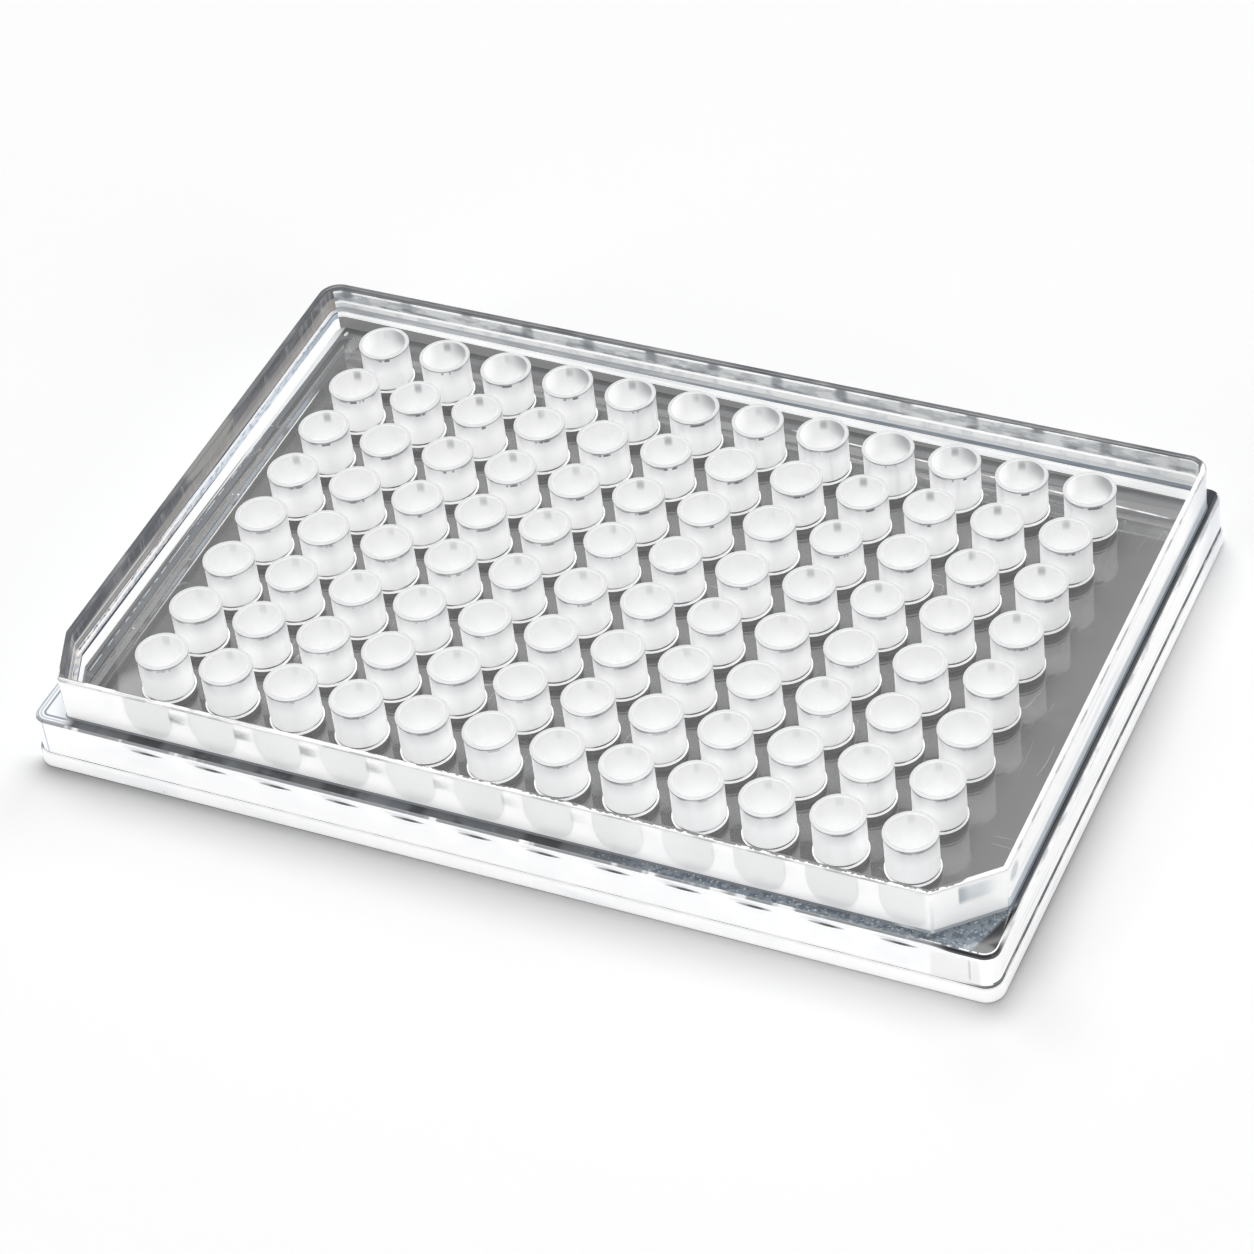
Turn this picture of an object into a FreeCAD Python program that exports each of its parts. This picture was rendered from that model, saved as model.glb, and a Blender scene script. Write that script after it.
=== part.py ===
"""96-well plate with an open top: one injection moulding in clear polystyrene.

A hollow skirt stands on the bench and carries a thin deck. A border wall stands on the deck,
set in from the skirt so that a lid can sit on the ledge round it. Ninety-six flat-bottomed
wells pass through the deck: each stands up inside the border as a short chimney and hangs
down inside the skirt.

Millimetres. +X runs along the numbered columns, +Y towards row A, +Z up. The origin is the
middle of the footprint, on the bench.
"""
import FreeCAD
import Part
import math
import os

Vector = FreeCAD.Vector

# ---- overall sizes -------------------------------------------------------------------------
FOOT_LENGTH = 127.76          # outside of the base band, along X
FOOT_WIDTH = 85.48            # outside of the base band, along Y
PLATE_HEIGHT = 13.9           # bench to the top of the border wall

# ---- skirt ---------------------------------------------------------------------------------
FOOT_CORNER = 3.3             # radius of the footprint's corners
BAND_HEIGHT = 2.2             # thicker band round the foot of the skirt
BAND_STEP = 0.35              # how far the band stands out from the skirt above it
BAND_EASE = 0.25              # the band's top edge, eased
SKIRT_WALL = 1.0              # skirt thickness above the band
LEDGE_EASE = 0.3              # rounding of the ledge's outer edge

# ---- deck ----------------------------------------------------------------------------------
DECK_TOP = 7.5
DECK_THICKNESS = 1.0

# ---- border wall ---------------------------------------------------------------------------
LEDGE_AT_ENDS = 1.05          # ledge left outside the border wall, at the two short ends
LEDGE_AT_SIDES = 1.6          # the same along the two long sides
BORDER_TOP_WALL = 0.8         # thickness of the wall's upper part
BORDER_FOOT_WALL = 1.4        # thickness below the inner step
BORDER_STEP_DROP = 3.6        # from the top of the wall down to the inner step
BORDER_EASE = 0.2             # rounding of the top edges
BACK_CORNER = 2.75            # outer radius of the two round corners
SMALLEST_RADIUS = 0.4         # inside corners are never sharper than this
CUT_EDGE_RADIUS = 0.9         # where a cut corner meets the straight walls
CUT_RIGHT_X, CUT_RIGHT_Y = 7.2, 6.6      # front right corner cut: legs along X and Y
CUT_LEFT_X, CUT_LEFT_Y = 3.3, 8.2        # front left corner cut: legs along X and Y

# ---- wells ---------------------------------------------------------------------------------
COLUMNS = 12
ROWS = 8
PITCH = 9.0
WELL_OUTER = 6.4              # outside diameter of a chimney
WELL_INNER = 5.5              # bore of a well
RIM_BELOW_TOP = 0.6           # rims stand this far below the top of the border wall
LIP_OUTER = 6.74              # outside diameter of the lip round the mouth
LIP_HEIGHT = 0.5
LIP_CHAMFER = 0.15            # both edges of the lip
LIP_COVE = 0.2                # height of the slope under the lip
FLARE = 0.3                   # slope where the chimney meets the deck
BOTTOM_WALL = 0.8             # thickness of a well's floor
BOTTOM_CHAMFER = 0.3          # round the outside of the floor
FLOOR_CHAMFER = 0.3           # round the inside of the floor
WELL_CLEARANCE = 2.0          # wells end this far above the bench
SINK = 0.1                    # overlap that joins the flare to the deck


def offset_polygon(points, distance):
    """Move every side of a convex polygon, given counterclockwise, inwards by distance."""
    count = len(points)
    sides = []
    for i in range(count):
        (x0, y0), (x1, y1) = points[i], points[(i + 1) % count]
        length = math.hypot(x1 - x0, y1 - y0)
        nx, ny = -(y1 - y0) / length, (x1 - x0) / length
        sides.append((nx, ny, nx * x0 + ny * y0 + distance))
    moved = []
    for i in range(count):
        a, b = sides[i - 1], sides[i]
        det = a[0] * b[1] - a[1] * b[0]
        moved.append(((a[2] * b[1] - a[1] * b[2]) / det, (a[0] * b[2] - a[2] * b[0]) / det))
    return moved


def rounded_wire(points, radii, z):
    """Closed wire at height z through a convex polygon whose corners have the given radii."""
    count = len(points)
    cuts = []
    for i in range(count):
        corner = Vector(points[i][0], points[i][1], z)
        back = Vector(points[i - 1][0], points[i - 1][1], z) - corner
        ahead = Vector(points[(i + 1) % count][0], points[(i + 1) % count][1], z) - corner
        back.normalize()
        ahead.normalize()
        half = back.getAngle(ahead) / 2
        reach = radii[i] / math.tan(half)
        middle = (back + ahead).normalize() * (radii[i] / math.sin(half) - radii[i])
        cuts.append((corner + back * reach, corner + middle, corner + ahead * reach))
    edges = []
    for i in range(count):
        start, middle, end = cuts[i]
        edges.append(Part.Arc(start, middle, end).toShape())
        edges.append(Part.LineSegment(end, cuts[(i + 1) % count][0]).toShape())
    return Part.Wire(edges)


def prism(points, radii, z_low, z_high):
    """Upright solid with a rounded polygon as its section."""
    face = Part.Face(rounded_wire(points, radii, z_low))
    return face.extrude(Vector(0, 0, z_high - z_low))


def rectangle(half_x, half_y):
    return [(-half_x, -half_y), (half_x, -half_y), (half_x, half_y), (-half_x, half_y)]


def edges_at_height(shape, z):
    """Edges that lie wholly at one height."""
    tolerance = 1e-4
    return [e for e in shape.Edges
            if abs(e.BoundBox.ZMin - z) < tolerance and abs(e.BoundBox.ZMax - z) < tolerance]


def rounded_top(shape, z, radius):
    return shape.makeFillet(radius, edges_at_height(shape, z))


def skirt_loop(inset):
    """Corners and radii of the footprint, moved inwards by inset."""
    corners = rectangle(FOOT_LENGTH / 2 - inset, FOOT_WIDTH / 2 - inset)
    return corners, [FOOT_CORNER - inset] * 4


def border_loop(inset):
    """Corners and radii of the border wall's outside, moved inwards by inset."""
    half_x = FOOT_LENGTH / 2 - BAND_STEP - LEDGE_AT_ENDS
    half_y = FOOT_WIDTH / 2 - BAND_STEP - LEDGE_AT_SIDES
    corners = [
        (-half_x + CUT_LEFT_X, -half_y),
        (half_x - CUT_RIGHT_X, -half_y),
        (half_x, -half_y + CUT_RIGHT_Y),
        (half_x, half_y),
        (-half_x, half_y),
        (-half_x, -half_y + CUT_LEFT_Y),
    ]
    cut_radius = max(CUT_EDGE_RADIUS - inset, SMALLEST_RADIUS)
    back_radius = max(BACK_CORNER - inset, SMALLEST_RADIUS)
    radii = [cut_radius, cut_radius, cut_radius, back_radius, back_radius, cut_radius]
    return offset_polygon(corners, inset), radii


def skirt():
    """Hollow base: the band at the foot, the skirt above it and the deck that closes it."""
    band = prism(*skirt_loop(0), 0, BAND_HEIGHT)
    band = rounded_top(band, BAND_HEIGHT, BAND_EASE)
    upper = prism(*skirt_loop(BAND_STEP), 0, DECK_TOP)
    upper = rounded_top(upper, DECK_TOP, LEDGE_EASE)
    hollow = prism(*skirt_loop(BAND_STEP + SKIRT_WALL), 0, DECK_TOP - DECK_THICKNESS)
    return band.fuse(upper).cut(hollow)


def border_wall():
    """Upright wall round the wells, thinner above an inner step."""
    step_z = PLATE_HEIGHT - BORDER_STEP_DROP
    foot_z = DECK_TOP - SINK
    outside = prism(*border_loop(0), foot_z, PLATE_HEIGHT)
    lower = prism(*border_loop(BORDER_FOOT_WALL), foot_z, step_z)
    upper = prism(*border_loop(BORDER_TOP_WALL), step_z, PLATE_HEIGHT)
    wall = outside.cut(lower.fuse(upper))
    return rounded_top(wall, PLATE_HEIGHT, BORDER_EASE)


def well_profile():
    """Half section of one well: up its outside, over the lip and down the bore to the floor."""
    outer, inner, lip = WELL_OUTER / 2, WELL_INNER / 2, LIP_OUTER / 2
    rim = PLATE_HEIGHT - RIM_BELOW_TOP
    lip_foot = rim - LIP_HEIGHT
    floor = WELL_CLEARANCE + BOTTOM_WALL
    corners = [
        (0, WELL_CLEARANCE),
        (outer - BOTTOM_CHAMFER, WELL_CLEARANCE),
        (outer, WELL_CLEARANCE + BOTTOM_CHAMFER),
        (outer, DECK_TOP - SINK),
        (outer + FLARE, DECK_TOP - SINK),
        (outer + FLARE, DECK_TOP),
        (outer, DECK_TOP + FLARE),
        (outer, lip_foot - LIP_COVE),
        (lip, lip_foot),
        (lip, rim - LIP_CHAMFER),
        (lip - LIP_CHAMFER, rim),
        (inner + LIP_CHAMFER, rim),
        (inner, rim - LIP_CHAMFER),
        (inner, floor + FLOOR_CHAMFER),
        (inner - FLOOR_CHAMFER, floor),
        (0, floor),
        (0, WELL_CLEARANCE),
    ]
    return Part.makePolygon([Vector(radius, 0, z) for radius, z in corners])


def well_places():
    """Centres of the wells, column by column."""
    for column in range(COLUMNS):
        for row in range(ROWS):
            x = (column - (COLUMNS - 1) / 2) * PITCH
            y = ((ROWS - 1) / 2 - row) * PITCH
            yield Vector(x, y, 0)


def plate_body():
    """The whole moulding: frame, then a bore and a well at each place of the grid."""
    frame = skirt().fuse(border_wall())
    well = Part.Face(well_profile()).revolve(Vector(0, 0, 0), Vector(0, 0, 1), 360)
    bore = Part.makeCylinder((WELL_OUTER + WELL_INNER) / 4, PLATE_HEIGHT)
    places = list(well_places())
    bores = Part.makeCompound([bore.translated(place) for place in places])
    wells = [well.translated(place) for place in places]
    return frame.cut(bores).fuse(wells).removeSplitter()


def write_step(name, shape):
    solids = shape.Solids
    if len(solids) != 1 or not solids[0].isValid():
        raise ValueError("%s is not one valid solid" % name)
    os.makedirs("parts", exist_ok=True)
    solids[0].exportStep("parts/%s.step" % name)
    box = solids[0].optimalBoundingBox(False, False)
    print("%s: %.2f x %.2f x %.2f mm, %.0f mm3, %d faces" % (
        name, box.XLength, box.YLength, box.ZLength, solids[0].Volume, len(solids[0].Faces)))


write_step("plate_body", plate_body())
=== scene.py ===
"""The open-topped 96-well plate, dressed: clear moulded frame, grey glossy deck and frosted wells.

Lengths are millimetres in the names below and metres in Blender. +X runs along the numbered
columns, +Y towards row A, +Z up; the bench is at z = 0.
"""
import bpy
import math
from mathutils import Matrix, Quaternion, Vector
from mathutils.geometry import delaunay_2d_cdt


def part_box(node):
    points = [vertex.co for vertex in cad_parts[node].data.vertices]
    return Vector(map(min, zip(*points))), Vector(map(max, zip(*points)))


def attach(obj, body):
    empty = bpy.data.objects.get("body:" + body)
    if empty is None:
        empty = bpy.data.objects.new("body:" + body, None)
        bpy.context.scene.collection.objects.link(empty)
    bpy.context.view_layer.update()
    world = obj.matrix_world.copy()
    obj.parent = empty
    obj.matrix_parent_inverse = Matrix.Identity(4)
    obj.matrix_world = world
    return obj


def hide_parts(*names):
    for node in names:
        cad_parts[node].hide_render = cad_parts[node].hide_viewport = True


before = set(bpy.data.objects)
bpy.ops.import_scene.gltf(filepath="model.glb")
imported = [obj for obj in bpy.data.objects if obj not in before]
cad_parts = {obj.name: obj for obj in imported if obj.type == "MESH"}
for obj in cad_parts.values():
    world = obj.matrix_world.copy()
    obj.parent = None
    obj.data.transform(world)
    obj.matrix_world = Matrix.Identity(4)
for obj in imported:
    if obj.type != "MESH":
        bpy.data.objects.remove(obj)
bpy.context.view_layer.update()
MM = 0.001

# ---- the plate's sizes, from the frame where it gives them ----
# Foot corners, chimneys, lips and flares are a little finer here than on the moulded solid.
low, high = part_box("plate_body")
FOOT_LENGTH = (high.x - low.x) / MM
FOOT_WIDTH = (high.y - low.y) / MM
PLATE_HEIGHT = high.z / MM

FOOT_CORNER = 2.3
BAND_HEIGHT = 2.2
BAND_STEP = 0.35
BAND_EASE = 0.25
SKIRT_WALL = 1.0
LEDGE_EASE = 0.3
DECK_TOP = 7.5
DECK_THICKNESS = 1.0
LEDGE_AT_ENDS = 1.05
LEDGE_AT_SIDES = 1.6
BORDER_TOP_WALL = 0.8
BORDER_FOOT_WALL = 1.4
BORDER_STEP_DROP = 3.6
BORDER_EASE = 0.2
BACK_CORNER = 2.75
SMALLEST_RADIUS = 0.4
CUT_EDGE_RADIUS = 0.9
CUT_RIGHT_X, CUT_RIGHT_Y = 7.2, 6.6
CUT_LEFT_X, CUT_LEFT_Y = 3.3, 8.2
COLUMNS, ROWS, PITCH = 12, 8, 9.0
WELL_OUTER, WELL_INNER = 6.52, 5.5
RIM_BELOW_TOP = 0.6
LIP_OUTER, LIP_HEIGHT, LIP_ROUND, LIP_COVE = 6.74, 0.28, 0.1, 0.14
FLARE = 0.16
BOTTOM_WALL = 0.8
BOTTOM_ROUND = 0.3
FLOOR_ROUND = 0.3
WELL_CLEARANCE = 2.0
COVE = 0.12                   # small fillets where the faces of the frame meet
SHELF_COVE = 0.06             # the same above the band

STEP_Z = PLATE_HEIGHT - BORDER_STEP_DROP
DECK_UNDER = DECK_TOP - DECK_THICKNESS
RIM_Z = PLATE_HEIGHT - RIM_BELOW_TOP
SIDE_Y = FOOT_WIDTH / 2 - BAND_STEP - LEDGE_AT_SIDES      # outside of the border's long walls
END_X = FOOT_LENGTH / 2 - BAND_STEP - LEDGE_AT_ENDS       # and of its end walls

WELL_SIDES = 40               # straight runs round a well
CORNER_STEPS = 10             # and round a rounded corner
COVE_STEPS = 2                # and round a cove
SUPPORT = 0.15                # width of the strips that keep flat faces flat beside a rounding
LONG_RUN = 1.0                # a profile run longer than this gets such strips

NEXT_ROW, OUTER_ROW = 26, 29  # y between the outer row of wells and the next, towards row A or H
LOOK_X, LOOK_Y = 0.878, 0.479  # level direction to the right, for someone at the front right
WORLD_STRENGTH = 0.28


# ---- outlines and profiles ----
def rounded_polygon(points, radii):
    """Points round a convex polygon with rounded corners, counterclockwise."""
    outline = []
    for i, radius in enumerate(radii):
        corner = Vector(points[i])
        back = (Vector(points[i - 1]) - corner).normalized()
        ahead = (Vector(points[(i + 1) % len(points)]) - corner).normalized()
        half = back.angle(ahead) / 2
        reach = radius / math.tan(half)
        centre = corner + (back + ahead).normalized() * radius / math.sin(half)
        start = corner + back * reach - centre
        outline.append(tuple(corner + back * (reach + SUPPORT)))
        for step in range(CORNER_STEPS + 1):
            turn = (math.pi - 2 * half) * step / CORNER_STEPS
            x = start.x * math.cos(turn) - start.y * math.sin(turn)
            y = start.x * math.sin(turn) + start.y * math.cos(turn)
            outline.append((centre.x + x, centre.y + y))
        outline.append(tuple(corner + ahead * (reach + SUPPORT)))
    return outline


def offset_polygon(points, distance):
    """Move every side of a convex polygon, given counterclockwise, inwards by distance."""
    sides = []
    for i, start in enumerate(points):
        along = Vector(points[(i + 1) % len(points)]) - Vector(start)
        normal = Vector((-along.y, along.x)).normalized()
        sides.append((normal.x, normal.y, normal.dot(Vector(start)) + distance))
    moved = []
    for i, b in enumerate(sides):
        a = sides[i - 1]
        det = a[0] * b[1] - a[1] * b[0]
        moved.append(((a[2] * b[1] - a[1] * b[2]) / det, (a[0] * b[2] - a[2] * b[0]) / det))
    return moved


def skirt_outline(inset):
    x, y = FOOT_LENGTH / 2 - inset, FOOT_WIDTH / 2 - inset
    return rounded_polygon([(-x, -y), (x, -y), (x, y), (-x, y)], [FOOT_CORNER - inset] * 4)


def border_outline(inset):
    x, y = END_X, SIDE_Y
    corners = [(-x + CUT_LEFT_X, -y), (x - CUT_RIGHT_X, -y), (x, -y + CUT_RIGHT_Y),
               (x, y), (-x, y), (-x, -y + CUT_LEFT_Y)]
    cut = max(CUT_EDGE_RADIUS - inset, SMALLEST_RADIUS)
    back = max(BACK_CORNER - inset, SMALLEST_RADIUS)
    return rounded_polygon(offset_polygon(corners, inset), [cut, cut, cut, back, back, cut])


def quarter(start, end, finish, after, upright_first, steps=4):
    """Quarter round between two (across, z) points, leaving the first upright or level.

    Its own faces take finish, and those from its last point on take after.
    """
    points = []
    for step in range(steps):
        turn = math.pi / 2 * step / steps
        across, rise = 1 - math.cos(turn), math.sin(turn)
        if not upright_first:
            across, rise = rise, across
        points.append((start[0] + (end[0] - start[0]) * across,
                       start[1] + (end[1] - start[1]) * rise, finish))
    return points + [(end[0], end[1], after)]


def supported(profile):
    """The profile with narrow strips added at both ends of its long runs."""
    points = []
    for (a, z, finish), (b, top, _) in zip(profile, profile[1:]):
        points.append((a, z, finish))
        length = math.hypot(b - a, top - z)
        if length > LONG_RUN:
            for share in (SUPPORT / length, 1 - SUPPORT / length):
                points.append((a + (b - a) * share, z + (top - z) * share, finish))
    return points + [profile[-1]]


# ---- mesh building ----
def add_object(name, data):
    """A new object in the scene, from the data of a mesh, lamp or camera."""
    made = bpy.data.objects.new(name, data)
    bpy.context.scene.collection.objects.link(made)
    return made


class Moulding:
    """Collects rings of vertices and the faces between them, then makes one mesh object."""

    def __init__(self):
        self.vertices = []
        self.faces = []
        self.finishes = []
        self.smooth = []

    def ring(self, outline, z):
        first = len(self.vertices)
        self.vertices += [(x, y, z) for x, y in outline]
        return list(range(first, len(self.vertices)))

    def face(self, corners, finish, smooth=True):
        self.faces.append(tuple(corners))
        self.finishes.append(finish)
        self.smooth.append(smooth)

    def skin(self, a, b, finish):
        """Quads between two rings. A pair of finishes is for the long sides and the ends."""
        for i, v in enumerate(a):
            j = (i + 1) % len(a)
            chosen = finish
            if isinstance(finish, tuple):
                x, y, _ = (abs(p - q) for p, q in zip(self.vertices[v], self.vertices[a[j]]))
                chosen = finish[0] if x > y else finish[1]
            self.face((v, a[j], b[j], b[i]), chosen)

    def sweep(self, outline_at, profile):
        """Skin along (across, z, finish) points, each finish up to the next point."""
        profile = supported(profile)
        rings = [self.ring(outline_at(across), z) for across, z, _ in profile]
        for lower, upper, (_, _, finish) in zip(rings, rings[1:], profile):
            self.skin(lower, upper, finish)
        return rings[0], rings[-1]

    def fill(self, outer, holes, finish, up):
        """Flat face between an outer ring and any number of rings inside it."""
        loops = [outer] + holes
        index = [v for loop in loops for v in loop]
        flat = [Vector(self.vertices[v][:2]) for v in index]
        owner, edges = [], []
        for number, loop in enumerate(loops):
            start = len(owner)
            edges += [(start + i, start + (i + 1) % len(loop)) for i in range(len(loop))]
            owner += [number] * len(loop)
        inside_outlines, nearness = 1, 1e-7
        triangles = delaunay_2d_cdt(flat, edges, [], inside_outlines, nearness)[2]
        for triangle in triangles:
            owners = {owner[v] for v in triangle}
            if len(owners) == 1 and owners != {0}:
                continue         # this triangle only closes a hole
            corners = [index[v] for v in triangle]
            a, b, c = (Vector(self.vertices[v]) for v in corners)
            if ((b - a).cross(c - a).z > 0) != up:
                corners.reverse()
            self.face(corners, finish, smooth=False)

    def disc(self, ring, x, y, z, finish, up):
        """Flat round face that closes a ring at its centre."""
        pole = len(self.vertices)
        self.vertices.append((x, y, z))
        for i, v in enumerate(ring):
            w = ring[(i + 1) % len(ring)]
            self.face((v, w, pole) if up else (w, v, pole), finish, smooth=False)

    def build(self, name, materials, sharp_degrees=50):
        mesh = bpy.data.meshes.new(name)
        mesh.from_pydata([(x * MM, y * MM, z * MM) for x, y, z in self.vertices], [], self.faces)
        slots = list(dict.fromkeys(self.finishes))
        for slot in slots:
            mesh.materials.append(materials[slot])
        mesh.polygons.foreach_set("material_index", [slots.index(f) for f in self.finishes])
        mesh.polygons.foreach_set("use_smooth", self.smooth)
        mesh.set_sharp_from_angle(angle=math.radians(sharp_degrees))
        if mesh.validate():
            raise ValueError("%s had faces that Blender had to mend" % name)
        piece = add_object(name, mesh)
        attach(piece, "root")
        return piece


def well_centres():
    for row in range(ROWS):
        for column in range(COLUMNS):
            yield (column - (COLUMNS - 1) / 2) * PITCH, ((ROWS - 1) / 2 - row) * PITCH


def circle(x, y, radius):
    turns = [2 * math.pi * i / WELL_SIDES for i in range(WELL_SIDES)]
    return [(x + radius * math.cos(t), y + radius * math.sin(t)) for t in turns]


def skirt_profile():
    """From the deck's underside down the inside, under the foot and up to the ledge."""
    wall = BAND_STEP + SKIRT_WALL
    shelf = ("band_step_side", "band_step_end")
    skirt = ("skirt_side", "skirt_end")
    points = [(wall, DECK_UNDER, "skirt_inside"), (wall, COVE, "foot"), (wall - COVE, 0, "foot")]
    points += quarter((COVE, 0), (0, COVE), "foot", "band", False, COVE_STEPS)
    points += quarter((0, BAND_HEIGHT - BAND_EASE), (BAND_EASE, BAND_HEIGHT), "band", shelf, True)
    points += quarter((BAND_STEP - SHELF_COVE, BAND_HEIGHT), (BAND_STEP, BAND_HEIGHT + SHELF_COVE),
                      shelf, skirt, False, COVE_STEPS)
    return points + quarter((BAND_STEP, DECK_TOP - LEDGE_EASE), (BAND_STEP + LEDGE_EASE, DECK_TOP),
                            skirt, "ledge", True)


def border_profile():
    """From the ledge up the border's outside, over its top and down the inner step."""
    top, foot = BORDER_TOP_WALL, BORDER_FOOT_WALL
    outside = ("outer_side", "outer_end")
    inside = ("inner_side", "inner_end")
    step = ("step_side", "step_end")
    points = quarter((-COVE, DECK_TOP), (0, DECK_TOP + COVE), outside, outside, False, COVE_STEPS)
    points += quarter((0, PLATE_HEIGHT - BORDER_EASE), (BORDER_EASE, PLATE_HEIGHT), "edge",
                      "border_top", True)
    points += quarter((top - BORDER_EASE, PLATE_HEIGHT), (top, PLATE_HEIGHT - BORDER_EASE),
                      "border_top", inside, False)
    points += quarter((top, STEP_Z + COVE), (top + COVE, STEP_Z), inside, step, True, COVE_STEPS)
    points += quarter((foot - COVE, STEP_Z), (foot, STEP_Z - COVE), step, inside, False, COVE_STEPS)
    return points + quarter((foot, DECK_TOP + COVE), (foot + COVE, DECK_TOP), inside, "deck_top",
                            True, COVE_STEPS)


def make_frame(materials):
    """Skirt, ledge, border wall and deck with its holes."""
    mould = Moulding()
    skirt_top, ledge_outer = mould.sweep(skirt_outline, skirt_profile())
    ledge_inner, deck_outer = mould.sweep(border_outline, border_profile())
    radius = (WELL_OUTER + WELL_INNER) / 4
    holes_top, holes_under = [], []
    for x, y in well_centres():
        holes_top.append(mould.ring(circle(x, y, radius), DECK_TOP))
        holes_under.append(mould.ring(circle(x, y, radius), DECK_UNDER))
        mould.skin(holes_top[-1], holes_under[-1], "deck_under")
    mould.fill(ledge_outer, [ledge_inner], "ledge", True)
    mould.fill(deck_outer, holes_top, "deck_top", True)
    mould.fill(skirt_top, holes_under, "deck_under", False)
    return mould.build("plate_frame", materials)


def well_profile():
    """(radius, z, finish) from under the floor, up the outside, over the lip and down the bore."""
    outer, inner, lip = WELL_OUTER / 2, WELL_INNER / 2, LIP_OUTER / 2
    floor = WELL_CLEARANCE + BOTTOM_WALL
    lip_foot = RIM_Z - LIP_HEIGHT
    foot_z = DECK_TOP - COVE / 2
    points = quarter((outer - BOTTOM_ROUND, WELL_CLEARANCE), (outer, WELL_CLEARANCE + BOTTOM_ROUND),
                     "well_under", "well_under", False)
    points += [(outer, DECK_UNDER, "well_in_deck"), (outer, foot_z, "well_foot"),
               (outer + FLARE, foot_z, "well_foot")]
    points += quarter((outer + FLARE, DECK_TOP), (outer, DECK_TOP + FLARE), "well_foot",
                      "well_outside", False)
    points += [(outer, lip_foot - LIP_COVE, "well_outside"), (lip, lip_foot, "well_lip")]
    points += quarter((lip, RIM_Z - LIP_ROUND), (lip - LIP_ROUND, RIM_Z), "well_lip", "well_lip", True)
    points += quarter((inner + LIP_ROUND, RIM_Z), (inner, RIM_Z - LIP_ROUND), "well_bore",
                      "well_bore", False)
    points += quarter((inner, floor + FLOOR_ROUND), (inner - FLOOR_ROUND, floor), "well_bore",
                      "well_bore", True)
    return supported(points)


def make_wells(materials):
    """One piece for each row of twelve wells."""
    profile = well_profile()
    centres = list(well_centres())
    for row in range(ROWS):
        mould = Moulding()
        for x, y in centres[row * COLUMNS:(row + 1) * COLUMNS]:
            rings = [mould.ring(circle(x, y, radius), z) for radius, z, _ in profile]
            for lower, upper, (_, _, finish) in zip(rings, rings[1:], profile):
                mould.skin(lower, upper, finish)
            mould.disc(rings[0], x, y, profile[0][1], "well_under", False)
            mould.disc(rings[-1], x, y, profile[-1][1], "well_bore", True)
        mould.build("wells_row_" + "ABCDEFGH"[row], materials)


# ---- paint ----
def light(value):
    """Linear value of a display tone between 0 and 255."""
    share = value / 255
    return share / 12.92 if share <= 0.04045 else ((share + 0.055) / 1.055) ** 2.4


def tone(digits):
    """Colour from the hex digits of its display tones: six, or two for a grey."""
    digits = digits * 3 if len(digits) == 2 else digits
    return tuple(light(int(digits[i:i + 2], 16)) for i in (0, 2, 4)) + (1.0,)


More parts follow.
